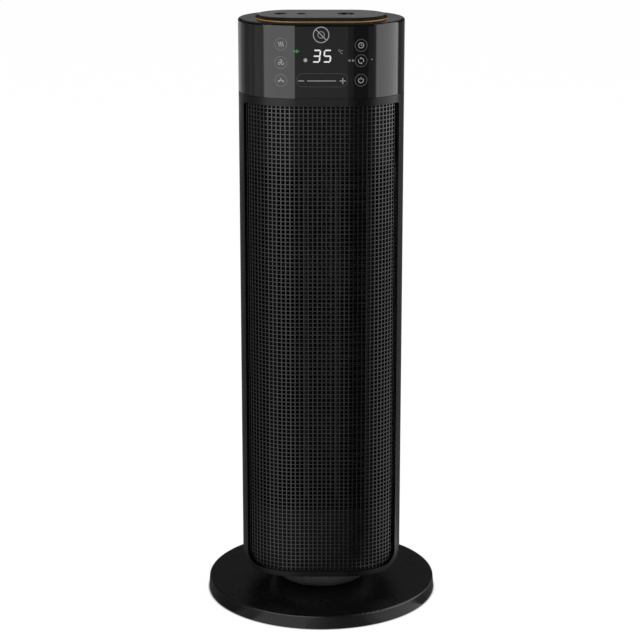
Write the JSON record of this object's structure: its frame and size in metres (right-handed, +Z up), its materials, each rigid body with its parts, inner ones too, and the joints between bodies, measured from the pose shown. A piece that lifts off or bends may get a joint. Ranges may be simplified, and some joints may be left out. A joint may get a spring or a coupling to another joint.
{
  "type": "tower fan heater",
  "caption": "Slim upright fan heater with a mesh front, glossy touch head with an amber light ring and a round swivelling foot.",
  "frame": {"origin": "on the floor under the middle of the round foot", "axes": "+Z up, the mesh front and the display face -Y"},
  "size_m": [0.2454, 0.2454, 0.6231],
  "materials": {
    "foot_black": "fine-grained moulded black plastic",
    "steel_plate": "black painted steel",
    "rubber": "soft black rubber",
    "zinc": "zinc plated steel",
    "nylon": "natural nylon",
    "black_nylon": "black nylon",
    "shell_matte": "satin black plastic",
    "gloss_black": "deep gloss black plastic",
    "mesh_black": "satin black powder coated wire",
    "grey_chassis": "dark grey glass-filled plastic",
    "duct_sheet": "black painted steel sheet",
    "wheel_black": "black fan plastic",
    "shaft_steel": "ground steel",
    "motor_iron": "laminated iron with copper winding",
    "bronze": "sintered bronze",
    "heat_frame": "heat-proof black plastic",
    "heater_fins": "black anodised aluminium fins",
    "ceramic": "off-white ceramic body",
    "pcb": "green circuit board",
    "relay_blue": "blue relay case",
    "amber_guide": "amber translucent light guide",
    "led_white": "small lamp bodies",
    "display": "dark display block",
    "pad_foam": "conductive foam"
  },
  "bodies": {
    "foot": {"base_shell": "foot_black", "base_plate": "steel_plate", "rubber_feet": "rubber", "base_screws": "zinc", "swivel_post": "zinc", "thrust_washer": "nylon", "swing_gear": "nylon", "post_nut": "zinc", "cord_gland": "black_nylon"},
    "tower": {"neck_bowl": "foot_black", "bowl_screws": "zinc", "bottom_pan": "grey_chassis", "pan_screws": "zinc", "swing_deck": "grey_chassis", "swing_motor": "zinc", "front_frame": "shell_matte", "mesh_middle": "mesh_black", "mesh_left": "mesh_black", "mesh_right": "mesh_black", "rear_shell": "shell_matte", "intake_grille": "shell_matte", "handle_cup": "shell_matte", "rocker_housing": "black_nylon", "duct_base": "grey_chassis", "duct_cap": "grey_chassis", "lower_screen": "duct_sheet", "upper_screen": "duct_sheet", "scroll_wall": "duct_sheet", "tongue_wall": "duct_sheet", "motor_stator": "motor_iron", "motor_can": "zinc", "top_bush": "bronze", "ptc_frame": "heat_frame", "ptc_core": "heater_fins", "thermal_cutout": "ceramic", "power_board": "pcb", "relays": "relay_blue", "terminal_block": "heat_frame", "tilt_switch": "black_nylon", "head_deck": "grey_chassis", "deck_screws": "zinc", "head_screws": "zinc", "head_shell": "gloss_black", "light_ring": "amber_guide", "ring_board": "pcb", "ring_leds": "led_white", "top_disc": "gloss_black", "control_board": "pcb", "board_holder": "grey_chassis", "display_module": "display", "touch_pads": "pad_foam", "buzzer": "black_nylon"},
    "blower": {"blower_wheel": "wheel_black", "blower_shaft": "shaft_steel", "motor_rotor": "motor_iron"},
    "swing_pinion": {"swing_pinion": "nylon"},
    "rocker": {"power_rocker": "black_nylon"}
  },
  "joints": [
    {"name": "tower_swivel", "type": "hinge", "parent": "foot", "child": "tower", "pos_m": [0, 0, 0.0147], "axis": [0, 0, 1], "range_deg": [-35, 35]},
    {"name": "blower_spin", "type": "hinge", "parent": "tower", "child": "blower", "pos_m": [0, 0.014, 0.2], "axis": [0, 0, 1], "continuous": true},
    {"name": "pinion_spin", "type": "hinge", "parent": "tower", "child": "swing_pinion", "pos_m": [0, -0.03265, 0.04], "axis": [0, 0, 1], "range_deg": [-117, 117]},
    {"name": "rocker_press", "type": "hinge", "parent": "tower", "child": "rocker", "pos_m": [0, 0.0553, 0.057], "axis": [1, 0, 0], "range_deg": [-14, 0]}
  ],
  "couplings": [
    {"joint": "pinion_spin", "follows": "tower_swivel", "ratio": 3.3333}
  ]
}
